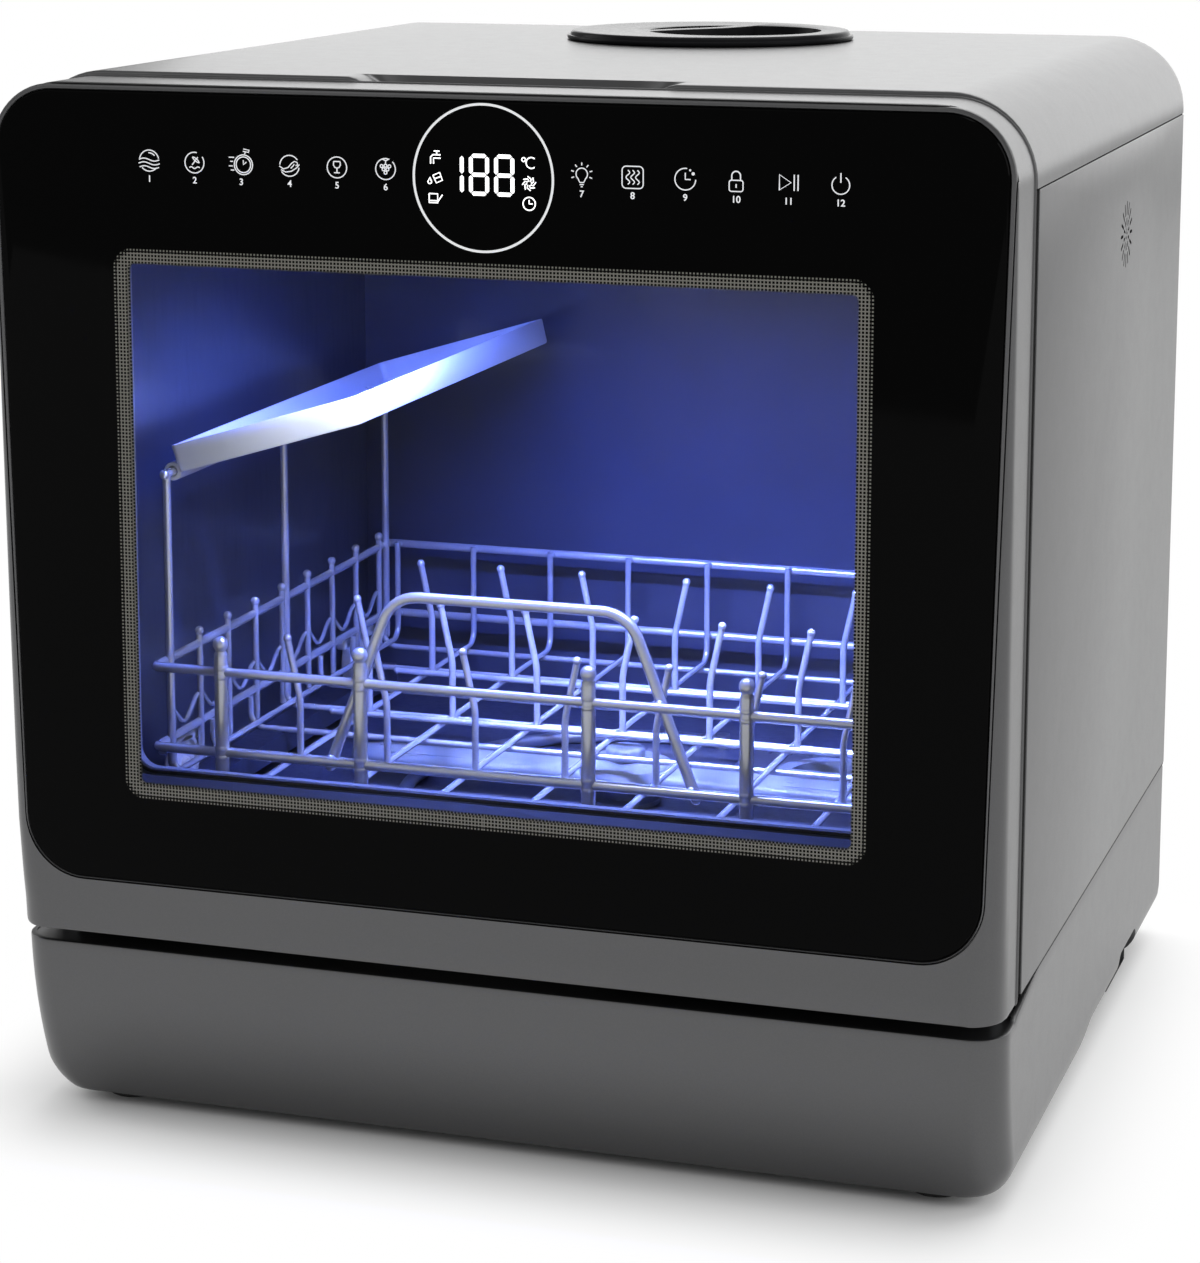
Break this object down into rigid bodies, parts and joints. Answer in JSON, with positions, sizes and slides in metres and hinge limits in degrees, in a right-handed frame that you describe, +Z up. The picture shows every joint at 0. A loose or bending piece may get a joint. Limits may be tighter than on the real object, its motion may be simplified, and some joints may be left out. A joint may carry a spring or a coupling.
{
  "type": "countertop dishwasher",
  "caption": "Compact boxy countertop dishwasher with a glass drop-down door, touch controls, a wire basket, a folding cup shelf and a top fill cap",
  "frame": {"origin": "middle of the footprint, on the surface that the feet stand on", "axes": "+Z up, the door faces -Y, +X to the right as seen from the front"},
  "size_m": [0.42, 0.4, 0.4444],
  "materials": {
    "casing_paint": "satin graphite-silver paint, fine metallic grain",
    "black_plastic": "fine-grained black moulding",
    "black_gloss": "glossy black moulding",
    "door_glass": "black-backed tempered glass, polished, clear over the window",
    "clear_glass": "clear tempered glass",
    "rubber": "matte dark rubber",
    "tub_wall": "smooth moulded dark grey wall",
    "steel": "brushed stainless steel",
    "coated_wire": "smooth pale nylon coating over wire",
    "pale_plastic": "smooth pale moulding",
    "grey_plastic": "matte grey moulding",
    "tank_plastic": "translucent natural polymer look, blow moulded",
    "circuit_board": "green solder mask",
    "lamp": "frosted lens of a blue-white strip light",
    "motor_steel": "painted motor can"
  },
  "bodies": {
    "casing": {"base_housing": "casing_paint", "base_plate": "black_plastic", "feet": "rubber", "side_panel_left": "casing_paint", "side_panel_right": "casing_paint", "top_cover": "casing_paint", "back_panel": "black_plastic", "panel_screws": "steel", "front_frame": "black_plastic", "tub": "tub_wall", "tub_seal": "rubber", "light_housing": "pale_plastic", "light_lens": "lamp", "water_tank": "tank_plastic", "fill_collar": "grey_plastic", "hinge_arm_left": "steel", "hinge_arm_right": "steel", "hinge_pins": "steel", "latch_body": "pale_plastic", "spray_hub": "grey_plastic", "filter_plate": "steel", "sump": "grey_plastic", "heater": "steel", "wash_pump": "grey_plastic", "pump_motor": "motor_steel", "wash_hose": "rubber", "drain_pump": "grey_plastic", "drain_hose": "rubber", "inlet_valve": "pale_plastic", "drain_spigot": "pale_plastic", "fan_housing": "black_plastic", "power_board": "circuit_board", "cord_gland": "black_plastic"},
    "door": {"door_frame": "casing_paint", "door_glass": "door_glass", "door_liner": "grey_plastic", "door_inner_glass": "clear_glass", "touch_board": "circuit_board", "display_module": "black_gloss", "latch_strike": "steel", "detergent_cup": "grey_plastic"},
    "detergent_lid": {"detergent_lid": "grey_plastic"},
    "basket": {"basket_floor": "coated_wire", "basket_front": "coated_wire", "basket_back": "coated_wire", "basket_left": "coated_wire", "basket_right": "coated_wire", "basket_handle": "coated_wire", "plate_tines": "coated_wire", "basket_glides": "pale_plastic"},
    "shelf": {"cup_shelf": "pale_plastic"},
    "spray": {"spray_arm": "grey_plastic", "spray_nut": "grey_plastic"},
    "filter": {"filter_cup": "grey_plastic"},
    "cap_ring": {"cap_seal": "rubber"},
    "cap": {"fill_cap": "black_gloss", "cap_plug": "black_gloss"},
    "hook": {"latch_hook": "steel"},
    "fan_wheel": {"fan_impeller": "black_plastic"},
    "pump_wheel": {"pump_impeller": "pale_plastic"}
  },
  "joints": [
    {"name": "door_hinge", "type": "hinge", "parent": "casing", "child": "door", "pos_m": [0, -0.19, 0.092], "axis": [1, 0, 0], "range_deg": [0, 90], "stiffness_Nm_per_rad": 2, "springref_deg": -17.19},
    {"name": "detergent_lid_slide", "type": "slide", "parent": "door", "child": "detergent_lid", "axis": [1, 0, 0], "range_m": [0, 0.058]},
    {"name": "basket_slide", "type": "slide", "parent": "casing", "child": "basket", "axis": [0, -1, 0], "range_m": [0, 0.0758]},
    {"name": "shelf_fold", "type": "hinge", "parent": "basket", "child": "shelf", "pos_m": [-0.165, 0, 0.268], "axis": [0, -1, 0], "range_deg": [0, 70]},
    {"name": "spray_spin", "type": "hinge", "parent": "casing", "child": "spray", "pos_m": [0, -0.012, 0.119], "axis": [0, 0, 1], "continuous": true},
    {"name": "filter_twist", "type": "hinge", "parent": "casing", "child": "filter", "pos_m": [0.082, 0.048, 0.108], "axis": [0, 0, 1], "range_deg": [0, 90]},
    {"name": "cap_lift", "type": "slide", "parent": "casing", "child": "cap_ring", "axis": [0, 0, 1], "range_m": [0, 0.07]},
    {"name": "cap_turn", "type": "hinge", "parent": "cap_ring", "child": "cap", "pos_m": [0, 0.117, 0.44], "axis": [0, 0, 1], "range_deg": [0, 45]},
    {"name": "latch_travel", "type": "hinge", "parent": "casing", "child": "hook", "pos_m": [0, -0.139, 0.419], "axis": [-1, 0, 0], "range_deg": [0, 7], "stiffness_Nm_per_rad": 0.05, "springref_deg": -11.46},
    {"name": "fan_spin", "type": "hinge", "parent": "casing", "child": "fan_wheel", "pos_m": [0.195, 0.043, 0.364], "axis": [1, 0, 0], "continuous": true},
    {"name": "pump_spin", "type": "hinge", "parent": "casing", "child": "pump_wheel", "pos_m": [0.04, -0.022, 0.038], "axis": [1, 0, 0], "continuous": true}
  ],
  "couplings": [
    {"joint": "basket_slide", "follows": "door_hinge", "m_per_rad": 0.048}
  ]
}
